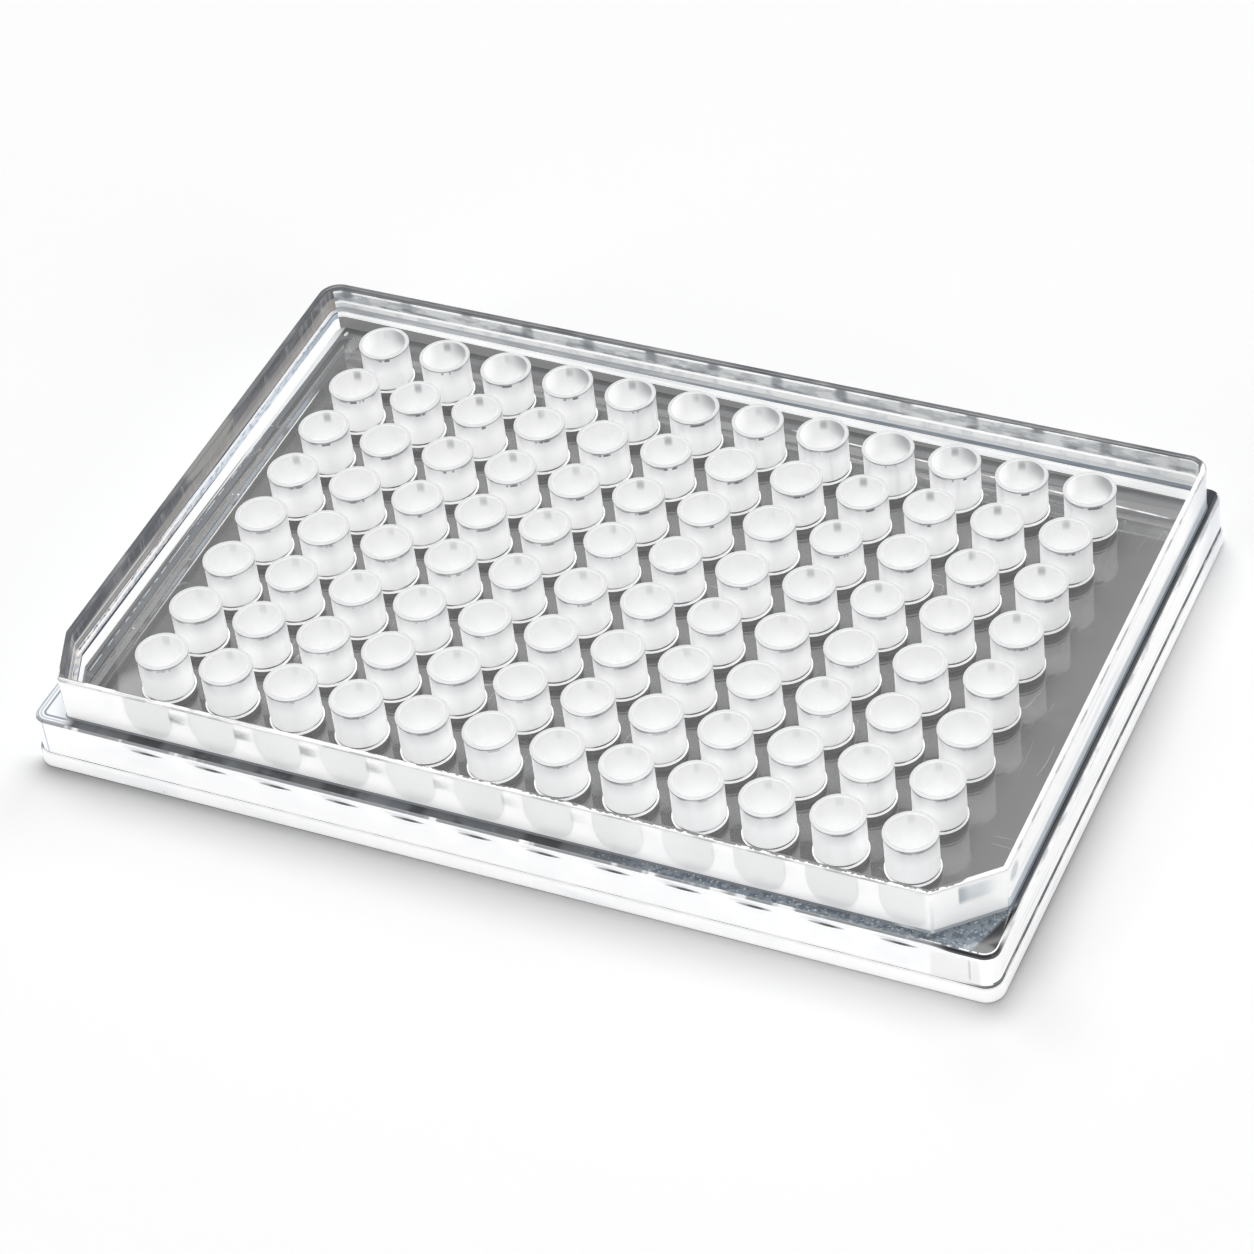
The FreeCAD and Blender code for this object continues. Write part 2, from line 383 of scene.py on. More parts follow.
class Paint:
    """One material whose colour is built up in covers, from masks over the plate's own axes."""

    def __init__(self, name, colour, roughness, ior=1.5):
        self.material = bpy.data.materials.new(name)
        self.material.use_nodes = True
        self.nodes = self.material.node_tree.nodes
        self.links = self.material.node_tree.links
        self.shader = self.nodes["Principled BSDF"]
        self.shader.inputs["Roughness"].default_value = roughness
        self.shader.inputs["IOR"].default_value = ior
        self.colour = tone(colour)
        metres = self.nodes.new("ShaderNodeTexCoord").outputs["Object"]
        self.place = self.vector("DIVIDE", metres, (MM, MM, MM))
        split = self.node("ShaderNodeSeparateXYZ", (self.place,))
        self.x, self.y, self.z = split.outputs

    def node(self, kind, inputs=(), **settings):
        """A node with its first inputs fed, each by a socket or a value."""
        made = self.nodes.new(kind)
        for key, value in settings.items():
            setattr(made, key, value)
        for socket, value in zip(made.inputs, inputs):
            self.feed(socket, value)
        return made

    def feed(self, socket, value):
        if isinstance(value, bpy.types.NodeSocket):
            self.links.new(value, socket)
        elif value is not None:
            socket.default_value = value

    def vector(self, operation, a, b):
        return self.node("ShaderNodeVectorMath", (a, b), operation=operation).outputs[0]

    def math(self, operation, a, b=None, c=None):
        return self.node("ShaderNodeMath", (a, b, c), operation=operation).outputs[0]

    def rise(self, value, start, end, floor=0.0, top=1.0):
        """Smooth step from floor to top as value goes from start to end, either way."""
        made = self.node("ShaderNodeMapRange", (value, start, end, floor, top),
                         interpolation_type="SMOOTHSTEP")
        return made.outputs[0]

    def between(self, value, start, end, soft):
        """1 between start and end, with soft edges centred on them."""
        up = self.rise(value, start - soft / 2, start + soft / 2)
        down = self.rise(value, end + soft / 2, end - soft / 2)
        return self.both(up, down)

    def plus(self, a, b):
        return self.math("ADD", a, b)

    def minus(self, a, b):
        return self.math("SUBTRACT", a, b)

    def slope(self, value, factor, base):
        return self.math("MULTIPLY_ADD", value, factor, base)

    def positive(self, value):
        return self.math("ABSOLUTE", value)

    def fade(self, value, scale):
        """1 where value is 0, falling off exponentially; scale is negative."""
        return self.math("EXPONENT", self.math("DIVIDE", value, scale))

    def both(self, *masks):
        """Product of masks and numbers."""
        product = masks[0]
        for mask in masks[1:]:
            product = self.math("MULTIPLY", product, mask)
        return product

    def either(self, *masks):
        largest = masks[0]
        for mask in masks[1:]:
            largest = self.math("MAXIMUM", largest, mask)
        return largest

    def cell(self, value, shift=0.0):
        """Signed distance from the nearest well centre along an axis, moved by shift."""
        moved = self.minus(value, PITCH / 2 + shift)
        return self.math("WRAP", moved, PITCH / 2, -PITCH / 2)

    def blob(self, a, b, centre, size, soft=0.4):
        """1 inside an ellipse over the axes a and b."""
        across = self.math("DIVIDE", self.minus(a, centre[0]), size[0])
        up = self.math("DIVIDE", self.minus(b, centre[1]), size[1])
        square = self.plus(self.both(across, across), self.both(up, up))
        return self.rise(square, 1 + soft, 1 - soft)

    def outside(self):
        """Distance from the plate's foot outline, negative within it."""
        past_x = self.minus(self.positive(self.x), FOOT_LENGTH / 2 - FOOT_CORNER)
        past_y = self.minus(self.positive(self.y), FOOT_WIDTH / 2 - FOOT_CORNER)
        past_x = self.either(past_x, 0.0)
        past_y = self.either(past_y, 0.0)
        square = self.plus(self.both(past_x, past_x), self.both(past_y, past_y))
        return self.minus(self.math("SQRT", square), FOOT_CORNER)

    def noise(self, lengths, detail, seed):
        """Noise whose features are about lengths (x, y, z) long."""
        stretched = self.vector("DIVIDE", self.place, lengths)
        moved = self.vector("ADD", stretched, (seed, seed * 0.7, seed * 1.3))
        made = self.node("ShaderNodeTexNoise", (moved,))
        made.inputs["Scale"].default_value = 1.0
        made.inputs["Detail"].default_value = detail
        return made.outputs[0]

    def clouds(self, lengths, detail, seed, start, end, floor=0.0, top=1.0):
        """Noise turned into soft patches, by a step from start to end."""
        return self.rise(self.noise(lengths, detail, seed), start, end, floor, top)

    def hairs(self, lengths, width, seed, amount):
        """Thin lines: the contour of one noise, kept where another is high."""
        off = self.positive(self.minus(self.noise(lengths, 1.0, seed), 0.5))
        line = self.rise(off, width, 0.0)
        broken = self.clouds((6, 6, 6), 1.0, seed + 9, 1 - amount, 1 - amount + 0.08)
        return self.both(line, broken)

    def specks(self, spacing, radius, seed, amount):
        """Small round spots, about spacing apart, of which a share is kept."""
        scaled = self.vector("DIVIDE", self.place, (spacing, spacing, spacing))
        made = self.node("ShaderNodeTexVoronoi", (self.vector("ADD", scaled, (seed, seed, seed)),))
        made.inputs["Scale"].default_value = 1.0
        near = self.rise(made.outputs["Distance"], radius / spacing, radius / spacing * 0.5)
        pick = self.node("ShaderNodeSeparateColor", (made.outputs["Color"],)).outputs[0]
        return self.both(near, self.rise(pick, 1 - amount, 1 - amount + 0.02))

    def cover(self, mask, colour, strength=1.0):
        """Paint colour over what is there, where mask is 1, or where all of several masks are."""
        if isinstance(mask, tuple):
            mask = self.both(*mask)
        if strength != 1.0:
            mask = self.both(mask, strength)
        mixed = self.node("ShaderNodeMix", (mask,), data_type="RGBA")
        below, over, result = 6, 7, 2        # the colour sockets of this node
        self.feed(mixed.inputs[below], self.colour)
        self.feed(mixed.inputs[over], tone(colour))
        self.colour = mixed.outputs[result]

    def dent(self, height, depth):
        """Fine relief, depth millimetres deep."""
        bump = self.node("ShaderNodeBump")
        bump.inputs["Distance"].default_value = depth * MM
        self.feed(bump.inputs["Height"], height)
        self.links.new(bump.outputs[0], self.shader.inputs["Normal"])

    def glow(self, strength):
        """Painted light: a white glow of its own, though the part is no lamp."""
        self.shader.inputs["Emission Color"].default_value = (1, 1, 1, 1)
        self.feed(self.shader.inputs["Emission Strength"], strength)

    def above(self, left, right, soft=0.12):
        """1 above a line that runs from one height at the left end to another at the right end."""
        fall = (left - right) / (2 * END_X)
        level = self.slope(self.x, fall, self.z)
        middle = (left + right) / 2
        return self.rise(level, middle - soft / 2, middle + soft / 2)

    def done(self, through=0.0):
        """Finish the material; through is the strength of a painted glow in its own colour, standing in
        for light that shines through it.
        """
        self.feed(self.shader.inputs["Base Color"], self.colour)
        if through:
            self.feed(self.shader.inputs["Emission Color"], self.colour)
            self.shader.inputs["Emission Strength"].default_value = through
        return self.material


def deck_under():
    """The deck's lower face: a grey mirror, seen through the clear upper one, with painted shade over the
    field of wells, a painted reflection at the front left and a painted glow.
    """
    paint = Paint("deck_grey", "55", 0.03, ior=2.5)
    x, y = paint.x, paint.y
    paint.cover(paint.clouds((16, 12, 10), 4.0, 3.1, 0.40, 0.66), "4a", 0.8)
    paint.cover(paint.clouds((5, 5, 5), 4.0, 8.4, 0.5, 0.75), "60", 0.5)
    paint.cover(paint.rise(x, 50, 60), "5c", 0.6)
    # painted shade: darker over the field of wells than round its margins
    field = paint.both(paint.between(x, -52, 52, 7), paint.between(y, -34, 34, 7))
    paint.cover(field, "3e", 0.8)
    paint.cover(paint.hairs((30, 4, 10), 0.012, 2.2, 0.35), "80", 0.5)
    paint.cover(paint.rise(x, -56, -58), "48", 0.5)
    # painted reflection at the front left: a paler patch and a darker corner beyond it
    to_corner = paint.plus(paint.both(x, 0.849), paint.both(y, 0.53))
    paint.cover(paint.blob(x, y, (-54, -33.5), (2.6, 4.5), 0.9), "7c", 0.8)
    paint.cover(paint.rise(to_corner, -65.0, -65.4), "38", 0.6)
    # painted glow in its own colour, which the wells' shadows do not dim
    return paint.done(through=1.2)


def deck_top():
    """The deck's clear upper face: only scratches, specks and bright lines show, some of them painted
    highlights.
    """
    paint = Paint("deck_clear", "d8", 0.15)
    x, y = paint.x, paint.y
    dots = paint.either(paint.specks(3.1, 0.16, 1.7, 0.16), paint.specks(5.3, 0.26, 6.1, 0.12))
    scratches = paint.either(paint.hairs((3, 24, 10), 0.008, 4.4, 0.45),
                             paint.hairs((22, 5, 10), 0.006, 7.9, 0.35))
    breaks = paint.clouds((4, 4, 4), 2.0, 2.9, 0.36, 0.52)
    dotted = paint.clouds((1.2, 1.6, 1.2), 1.0, 0.4, 0.42, 0.55)
    # painted highlights: the skirt's lit foot edge near the left wall, as seen through the deck
    left_wide = paint.both(paint.between(x, -58.2, -57.65, 0.2), paint.rise(y, -38, -4),
                           paint.rise(y, 27, 22), breaks)
    left_fine = paint.both(paint.between(x, -57.5, -57.33, 0.08), paint.rise(y, -38, -2),
                           paint.rise(y, 27, 24))
    left_specks = paint.both(paint.either(paint.specks(1.4, 0.15, 3.9, 0.3),
                                          paint.specks(2.7, 0.24, 8.3, 0.25)),
                             paint.rise(x, -52, -56))
    strip = paint.rise(paint.minus(x, paint.rise(y, -20, 50, 0, 1.1)), -61.0, -61.08)
    smear = paint.blob(x, y, (-57.3, 36.4), (0.9, 1.7), 0.5)
    spot = paint.blob(x, y, (-59.3, 38.0), (0.25, 0.5), 0.3)
    left_dots = paint.both(paint.between(x, -60.55, -60.42, 0.08), paint.between(y, -36, 22, 6), dotted)
    slope = paint.slope(x, 0.0353, y)
    # painted highlights: the skirt's lit foot edge near the back wall, as seen through the deck
    back_line = paint.both(paint.between(slope, 37.32, 37.6, 0.12), paint.between(x, 7, 58.5, 2),
                           paint.rise(breaks, -0.6, 0.7))
    steep = paint.slope(x, 0.079, y)
    back_faint = paint.both(paint.between(steep, 35.42, 35.62, 0.1), paint.between(x, 8, 54, 3), breaks)
    marks = paint.either(paint.both(dots, 0.75), paint.both(scratches, 0.35),
                         paint.both(left_wide, 0.55), left_fine,
                         paint.both(left_dots, 0.8), back_line, left_specks, strip, spot,
                         paint.both(smear, 0.3), paint.both(back_faint, 0.35))
    paint.cover(left_wide, "b4bec8")
    paint.cover(paint.either(left_fine, back_line, left_dots, left_specks, strip, spot), "f8")
    paint.feed(paint.shader.inputs["Alpha"], paint.either(marks, 0.02))
    return paint.done()


def frosted(name, colour, roughness=0.42):
    """Frosted polystyrene with faint flow marks; the start of every well finish."""
    paint = Paint(name, colour, roughness)
    paint.cover(paint.clouds((2.6, 2.6, 4), 3.0, 1.3, 0.42, 0.75), "e9ebec", 0.5)
    paint.dent(paint.noise((0.25, 0.25, 0.25), 2.0, 4.0), 0.004)
    return paint


def screen_side(paint):
    """How far to the right of its well's axis a point lies, seen from the front right."""
    return paint.slope(paint.cell(paint.y), LOOK_Y, paint.both(paint.cell(paint.x), LOOK_X))


def well_outside():
    """A chimney's wall: a painted glow, painted shade and short dark ticks of painted shadow under the
    lip, and a dark line of painted shade above its foot.
    """
    paint = frosted("well_outside", "ea")
    y, z = paint.y, paint.z
    foot, lip_foot = DECK_TOP + FLARE, RIM_Z - LIP_HEIGHT - LIP_COVE
    uneven = paint.noise((3, 3, 50), 1.0, 6.6)
    shade = paint.both(paint.rise(z, lip_foot - 2.6, lip_foot), paint.rise(uneven, 0.3, 0.6, 0.6))
    paint.cover(shade, "acaeb1", 0.7)
    upright = paint.clouds((0.9, 0.9, 9), 2.0, 7.7, 0.5, 0.68)
    back_row = paint.rise(y, NEXT_ROW, OUTER_ROW, 0.35, 1.0)
    paint.cover((upright, back_row), "a0a6ae", 0.38)
    # painted shadow just under the lip
    near = paint.both(paint.rise(z, lip_foot - 0.3, lip_foot), paint.rise(uneven, 0.45, 0.6))
    paint.cover(near, "6c7076", 0.6)
    # painted shade: a dark line in the crease above the foot
    line = paint.both(paint.between(z, foot, foot + 0.26, 0.12), paint.rise(uneven, 0.35, 0.62, 0.45))
    paint.cover(line, "484a4e", 0.95)
    side = screen_side(paint)
    broken = paint.clouds((0.8, 0.8, 50), 1.0, 5.5, 0.44, 0.54)
    # painted shadow: short dark marks under the lip, on the front side of each well
    lip_shadow_tick = paint.both(paint.between(side, -0.8, 1.1, 0.4), paint.rise(paint.cell(y), -1.6, -2.2),
                      paint.rise(z, lip_foot - 0.36, lip_foot - 0.24), broken,
                      paint.rise(y, -20, 20, 0.45, 1.0))
    paint.cover(lip_shadow_tick, "585b60", 0.9)
    # painted glow, a little stronger in the front row, dimmed where shade is painted
    front_row = paint.rise(y, -NEXT_ROW, -OUTER_ROW, 0.36, 0.41)
    dim = paint.either(paint.both(shade, 0.35), near, line, lip_shadow_tick)
    paint.glow(paint.both(front_row, paint.rise(dim, 0.0, 1.0, 1.0, 0.2)))
    return paint.done()


def well_lip():
    """The mouth: as pale as the bore on top, with a painted highlight along its edge, a fine broken dark
    line of painted shade round its side and a faint painted glow.
    """
    paint = frosted("well_lip", "dcddde", 0.3)
    depth = paint.minus(RIM_Z, paint.z)
    uneven = paint.noise((3, 3, 50), 1.0, 6.6)
    # painted highlight along the rim's edge
    paint.cover(paint.between(depth, 0.03, 0.09, 0.03), "fc")
    # painted shade on the lower side of the lip
    paint.cover(paint.rise(depth, 0.2, 0.28), "c4c6c8", 0.7)
    # painted shade: a fine broken dark line round the side
    line = paint.both(paint.between(depth, 0.1, 0.24, 0.05), paint.rise(uneven, 0.3, 0.6, 0.6),
                      paint.clouds((1.3, 1.3, 50), 2.0, 4.4, 0.35, 0.6, 0.5))
    paint.cover(line, "54585c", 0.9)
    # faint painted glow
    paint.glow(0.08)
    return paint.done()


def well_bore():
    """The bore: a painted glow keeps it light down to its floor; a small grey painted reflection lies by
    the mouth of most wells, and the back row's bores carry painted shade and painted light.
    """
    paint = frosted("well_bore", "e8")
    depth = paint.minus(RIM_Z, paint.z)
    side = screen_side(paint)
    far = paint.rise(paint.cell(paint.y), 0.8, 1.6)
    kept = paint.clouds((5, 5, 50), 0.0, 3.3, 0.35, 0.55)
    # painted reflection: a small grey streak on the far wall by the mouth
    mark = paint.both(paint.between(side, -0.05, 0.9, 0.5), paint.between(depth, 0.1, 1.5, 1.2), far,
                      kept, paint.rise(paint.y, -15, 25, 0.4, 1.0))
    paint.cover(mark, "84888c", 0.6)
    back_row = paint.rise(paint.y, NEXT_ROW, OUTER_ROW)
    # painted shade on the right side of the back row's bores, seen from the front right
    painted_shade = paint.both(back_row, paint.rise(side, -0.2, 2.6), paint.rise(depth, 4.0, 0.3))
    paint.cover(painted_shade, "989a9e", 0.7)
    # painted light on their left side
    bright = paint.both(back_row, paint.rise(side, -0.8, -2.2), paint.rise(depth, 4.0, 1.0))
    paint.cover(bright, "ff", 0.8)
    # painted glow, stronger deeper down and where light is painted, weaker where shade and the reflection
    # are painted
    deep = paint.plus(paint.rise(depth, 0.0, 4.5, 0.20, 0.24), paint.both(bright, 0.1))
    dark = paint.either(painted_shade, paint.both(mark, 0.7))
    paint.glow(paint.both(deep, paint.rise(dark, 0.0, 1.0, 1.0, 0.1)))
    return paint.done()


def well_foot():
    """The flare at a chimney's foot, a bright ring: a painted highlight with a painted glow."""
    paint = frosted("well_foot", "fc", 0.25)
    paint.glow(0.35)
    return paint.done()


def well_in_deck():
    """Where a well passes through the clear deck it reads as part of the grey."""
    paint = Paint("well_in_deck", "5c", 0.3)
    paint.cover(paint.noise((3, 3, 3), 2.0, 5.0), "6a", 0.7)
    # painted glow in the surface's own colour
    return paint.done(through=0.6)


def well_under():
    paint = frosted("well_under", "e4e6e8")
    paint.cover(paint.rise(paint.z, DECK_UNDER - 2, DECK_UNDER), "b8bcc0", 0.6)
    # painted highlight: a pale ring round the rounded bottom
    paint.cover(paint.between(paint.z, WELL_CLEARANCE, WELL_CLEARANCE + 0.6, 0.3), "f6", 0.8)
    return paint.done()


def streaks(paint, seed, length, height):
    """Long thin unevenness along a wall, whichever way the wall runs."""
    return paint.noise((length, length, height), 3.0, seed)


def fine_flecks(paint):
    """Small flecks on the step and the mottled strip under it."""
    return paint.clouds((0.9, 1.1, 0.35), 3.0, 4.0, 0.47, 0.6)


def streaky(paint, seed, length, height, start, end, floor=0.0):
    return paint.rise(streaks(paint, seed, length, height), start, end, floor)


def light_patch(paint):
    """A paler patch on the left wall, from its top down the inner face."""
    return paint.both(paint.blob(paint.y, paint.z, (4.6, 13.6), (6.5, 1.5), 0.35),
                      paint.rise(paint.x, 0, -50))


def inner_end():
    """Inner faces of the two end walls, with their bands sinking a little towards the back."""
    paint = Paint("inner_end", "8e8b88", 0.16)
    y, z = paint.y, paint.z
    level = paint.slope(y, 0.011, z)          # heights below are for y = 0
    paint.cover(streaky(paint, 5.0, 6.0, 1.2, 0.42, 0.7), "7e7c7b", 0.7)
    ragged = paint.plus(z, paint.noise((9, 7, 5), 3.0, 6.2))
    smudged = paint.rise(ragged, 12.4, 12.9)
    paint.cover(smudged, "66676b", 0.95)
    cloud = streaky(paint, 2.0, 8.0, 1.6, 0.42, 0.62)
    paint.cover((smudged, cloud), "4c4f55", 0.8)
    upright = paint.clouds((9, 0.7, 6), 3.0, 8.8, 0.5, 0.7)
    paint.cover(upright, "a6a5a4", 0.3)
    paint.cover(light_patch(paint), "949390", 0.85)
    paint.cover((paint.between(z, 11.62, 11.87, 0.15), paint.rise(y, -9, -16)), "ccd0d2", 0.9)
    paint.cover(paint.rise(level, 10.62, 10.54), "485666", 0.95)
    paint.cover(paint.rise(level, 10.4, 10.32), "ff")
    front = paint.rise(y, 4, -12)
    back = paint.rise(y, 22, 34)
    mottle = paint.between(level, 9.56, 10.31, 0.12)
    paint.cover(mottle, "ced8e2", 0.9)
    paint.cover((mottle, front), "ccc4be", 0.85)
    paint.cover((mottle, back), "98a2ac", 0.7)
    paint.cover((mottle, fine_flecks(paint)), "94a4b6", 0.7)
    grains = paint.clouds((0.5, 0.8, 0.3), 3.0, 9.0, 0.5, 0.6)
    paint.cover((mottle, front, grains), "5c5856", 0.8)
    depth = paint.rise(y, 6, -34, 9.66, 9.96)
    line = paint.both(paint.rise(level, depth, paint.minus(depth, 0.08)),
                      paint.rise(level, 9.4, 9.48), paint.rise(y, 10, 2))
    paint.cover(line, "304054", 0.95)
    paint.cover(paint.rise(level, 7.72, 7.6), "84")
    # painted glow in the surface's own colour
    return paint.done(through=0.58)


def inner_side():
    """Inner faces of the two long walls: grey runs over two white bands that sink to the right."""
    paint = Paint("inner_side", "84", 0.16)
    x = paint.x
    gap = paint.rise(paint.positive(paint.cell(x, 3.7)), 3.3, 4.1)
    uneven = streaks(paint, 1.0, 5.0, 1.5)
    paint.cover(paint.above(9.36, 7.5), "fc")
    paint.cover((paint.above(9.36, 7.5), streaky(paint, 7.0, 30.0, 0.16, 0.52, 0.62)), "d4d8da", 0.7)
    leftward = paint.rise(x, 5, -35)
    paint.cover(paint.above(10.3, 9.15), "868d94")
    paint.cover((paint.above(10.3, 9.15), streaky(paint, 4.0, 6.0, 0.5, 0.45, 0.65)), "6c747c", 0.7)
    paint.cover((paint.above(10.3, 9.15), leftward), "b4b6b8", 0.65)
    grey = paint.above(10.6, 10.0)
    paint.cover(grey, "d6")
    paint.cover((grey, streaky(paint, 6.0, 2.0, 3.0, 0.46, 0.66)), "b8bcc0", 0.7)
    bright = paint.above(11.25, 11.05)
    paint.cover(bright, "f8", 0.95)
    smoky = paint.above(11.62, 11.5, 0.2)
    paint.cover(smoky, "c0c2c3")
    paint.cover((smoky, streaky(paint, 3.0, 2.6, 0.9, 0.45, 0.62)), "9a9da0", 0.75)
    low = paint.minus(1.0, paint.above(12.4, 12.2, 0.9))
    paint.cover((smoky, low, paint.rise(uneven, 0.45, 0.6)), "6a6f75", 0.75)
    paint.cover((smoky, gap, paint.rise(uneven, 0.35, 0.6, 0.12)), "6c7177", 0.75)
    # painted highlight: broken white marks just under the top
    highlight_dashes = paint.both(paint.above(13.0, 13.55, 0.1), paint.minus(1.0, gap),
                        streaky(paint, 9.0, 1.6, 1.0, 0.3, 0.5, 0.35))
    paint.cover(highlight_dashes, "f6f8f8", 0.95)
    paint.cover(paint.above(13.3, 13.85, 0.1), "666769", 0.95)
    # painted glow in the surface's own colour
    return paint.done(through=0.5)


def step_end():
    paint = Paint("step_end", "ff", 0.2)
    inner_half = paint.both(paint.rise(paint.x, -61.32, -61.24), paint.rise(paint.x, 0, -50))
    paint.cover(inner_half, "d4dae2", 0.9)
    paint.cover((inner_half, paint.rise(paint.y, 4, -12)), "cec8c4", 0.8)
    paint.cover((inner_half, fine_flecks(paint)), "94a2b2", 0.7)
    # painted glow in the surface's own colour
    return paint.done(through=0.4)


def step_side():
    """The inner step: smudged towards the left, light grey towards the right."""
    paint = Paint("step_side", "b8babc", 0.2)
    paint.cover(paint.clouds((6, 2, 2), 3.0, 1.9, 0.4, 0.65), "989b9f", 0.8)
    paint.cover(paint.rise(paint.x, 2, 16), "c8cacc", 0.9)
    # painted glow in the surface's own colour
    return paint.done(through=0.4)


CLEAR_FACE_GLOW = 0.22                # strength of the painted glow on a clear face, in its own colour, standing in for light that shines through it


def clear(name):
    """Clear polystyrene with the white bench behind it; the start of every outer face."""
    return Paint(name, "fb", 0.1)


def far_faces(paint):
    """Painted shade: a grey tint over the outer faces of the back and left walls, which get the most
    light.
    """
    back = paint.rise(paint.y, 30, 38)
    left = paint.both(paint.rise(paint.x, -60, -62), paint.rise(paint.y, -38, -32))
    cloudy = paint.clouds((12, 12, 5), 2.0, 9.3, 0.35, 0.65, 0.7)
    paint.cover((paint.either(back, left), cloudy), "c6ccd2", 0.75)


def right_cut(paint):
    """1 on the corner cut between the front and right walls."""
    reach = END_X + SIDE_Y - CUT_RIGHT_X
    return paint.rise(paint.minus(paint.x, paint.y), reach - 2, reach - 1)


def near_walls(paint):
    """1 on the front and right walls and on the corner cut between them, 0 on the far ones."""
    right = paint.rise(paint.x, END_X - 2.5, END_X - 1.5)
    front = paint.rise(paint.y, 2.5 - SIDE_Y, 1.5 - SIDE_Y)
    return paint.either(right, front, right_cut(paint))


def inset(paint):
    """Depth inside the outer faces of the front wall, the right wall and the cut between."""
    across, along = CUT_RIGHT_X, CUT_RIGHT_Y
    reach = along * (END_X - across) + across * SIDE_Y
    tilted = paint.slope(paint.x, -along, paint.slope(paint.y, across, reach))
    cut = paint.math("DIVIDE", tilted, math.hypot(across, along))
    right = paint.minus(END_X, paint.x)
    front = paint.plus(paint.y, SIDE_Y)
    return paint.math("MINIMUM", cut, paint.math("MINIMUM", right, front))


def border_top():
    """Flat top of the border wall: dark and smudged, white over the near walls, with painted glints
    towards the right.
    """
    paint = Paint("border_top", "78797b", 0.14)
    x, y = paint.x, paint.y
    paint.cover(paint.clouds((9, 9, 1), 3.0, 2.4, 0.42, 0.62), "585b5f", 0.85)
    paint.cover(paint.clouds((14, 14, 1), 2.0, 7.4, 0.52, 0.66), "a0", 0.6)
    paint.cover(light_patch(paint), "949390", 0.85)
    depth = inset(paint)
    near = paint.rise(depth, 1.2, 1.0)
    paint.cover(near, "868788")
    ragged = paint.clouds((0.7, 0.7, 0.7), 2.0, 5.3, 0.35, 0.6, -0.12, 0.2)
    white_from = paint.minus(paint.rise(x, -30, 20, 0.9, 0.4), ragged)
    white_from = paint.either(white_from, paint.rise(y, -39, -36, 0.0, 0.9))
    white = paint.rise(paint.minus(depth, white_from), 0.03, -0.03)
    paint.cover(white, "f2")
    cracked = paint.both(paint.rise(x, -25, -35), paint.clouds((5, 50, 50), 2.0, 1.2, 0.42, 0.5))
    paint.cover((paint.between(depth, 0.55, 0.85, 0.1), cracked), "70", 0.8)
    paint.cover((paint.between(depth, 0.25, 0.4, 0.1), cracked), "b0b2b6", 0.6)
    # painted glints: white specks on the near walls towards the right
    painted_glints = paint.both(near, paint.specks(1.1, 0.3, 3.3, 0.4), paint.rise(x, 30, 50))
    paint.cover(painted_glints, "ff")
    # painted glow in the surface's own colour
    return paint.done(0.2)


def edge():
    """The rounded outer edge of the border: a painted highlight, dark over the far walls."""
    paint = Paint("edge", "f8", 0.12)
    paint.cover(paint.clouds((4, 4, 1), 2.0, 4.1, 0.5, 0.6), "a8a9aa", 0.6)
    far_side = paint.minus(1.0, near_walls(paint))
    paint.cover(far_side, "585a5d", 0.9)
    return paint.done()


def outer_side():
    """Outer faces of the two long walls, with the wells showing faintly through."""
    paint = clear("outer_side")
    x, y, z = paint.x, paint.y, paint.z
    far_faces(paint)
    paint.cover(paint.clouds((8, 8, 3), 2.0, 3.0, 0.5, 0.8), "f0f2f4", 0.6)
    cell = paint.cell(x, 2.8)
    fourth = paint.math("POWER", paint.positive(cell), 4.0)
    low = paint.both(fourth, 0.024)
    rounded = paint.minus(z, low)
    below = paint.rise(rounded, DECK_TOP + 0.2, DECK_TOP + 0.9)
    on_field = paint.between(x, -52.5, 54.8, 0.8)
    ghost = paint.both(paint.between(cell, -3.3, 3.3, 0.4), below, on_field)
    fades = paint.clouds((11, 50, 50), 1.0, 5.0, 0.35, 0.65, 0.75)
    paint.cover((ghost, fades), "e2e3e3", 0.95)
    # painted shade: darker towards the foot of each ghost
    painted_shade = paint.both(ghost, paint.between(cell, -1.2, 2.9, 1.4), paint.rise(z, 10.5, 8.6))
    paint.cover(painted_shade, "dadbdc", 0.45)
    fades_right = paint.rise(x, 30, -45, 0.12)
    past = paint.cell(x, 6.9)
    beside = paint.both(paint.rise(past, -1.3, -0.9), paint.rise(past, 2.4, -0.6),
                        paint.rise(z, 10.9, 11.7), paint.rise(z, 13.3, 12.3),
                        paint.between(x, -48, 53, 1), fades_right,
                        streaky(paint, 4.0, 1.5, 0.7, 0.3, 0.55, 0.65))
    paint.cover(beside, "888b8f", 0.85)
    paint.cover((paint.rise(z, 7.86, 7.72), paint.rise(x, 53, 50)), "666a70", 0.85)
    base = paint.both(paint.rise(z, 8.0, 7.75), paint.rise(x, 51, 54))
    paint.cover(base, "9099a2", 0.8)
    left_edge = paint.both(paint.rise(x, -58.95, -59.15), paint.rise(z, 13.3, 12.0), paint.rise(y, 0, -30))
    paint.cover(left_edge, "8c98a6", 0.8)
    round_corner = paint.plus(x, y)
    patch = paint.both(paint.rise(round_corner, 19.3, 19.7), paint.rise(round_corner, 27.5, 23.0),
                       paint.between(z, 10.9, 13.4, 1.0))
    paint.cover(patch, "ccd1d5", 0.9)
    paint.cover((patch, paint.rise(round_corner, 21.6, 19.8)), "a8aeb5", 0.7)
    bend = END_X - CUT_RIGHT_X - SIDE_Y
    paint.cover((paint.between(round_corner, bend - 0.1, bend + 0.5, 0.3), paint.rise(z, 13.4, 11)),
                "e2e4e6", 0.8)
    # painted glow in the surface's own colour
    return paint.done(0.26)


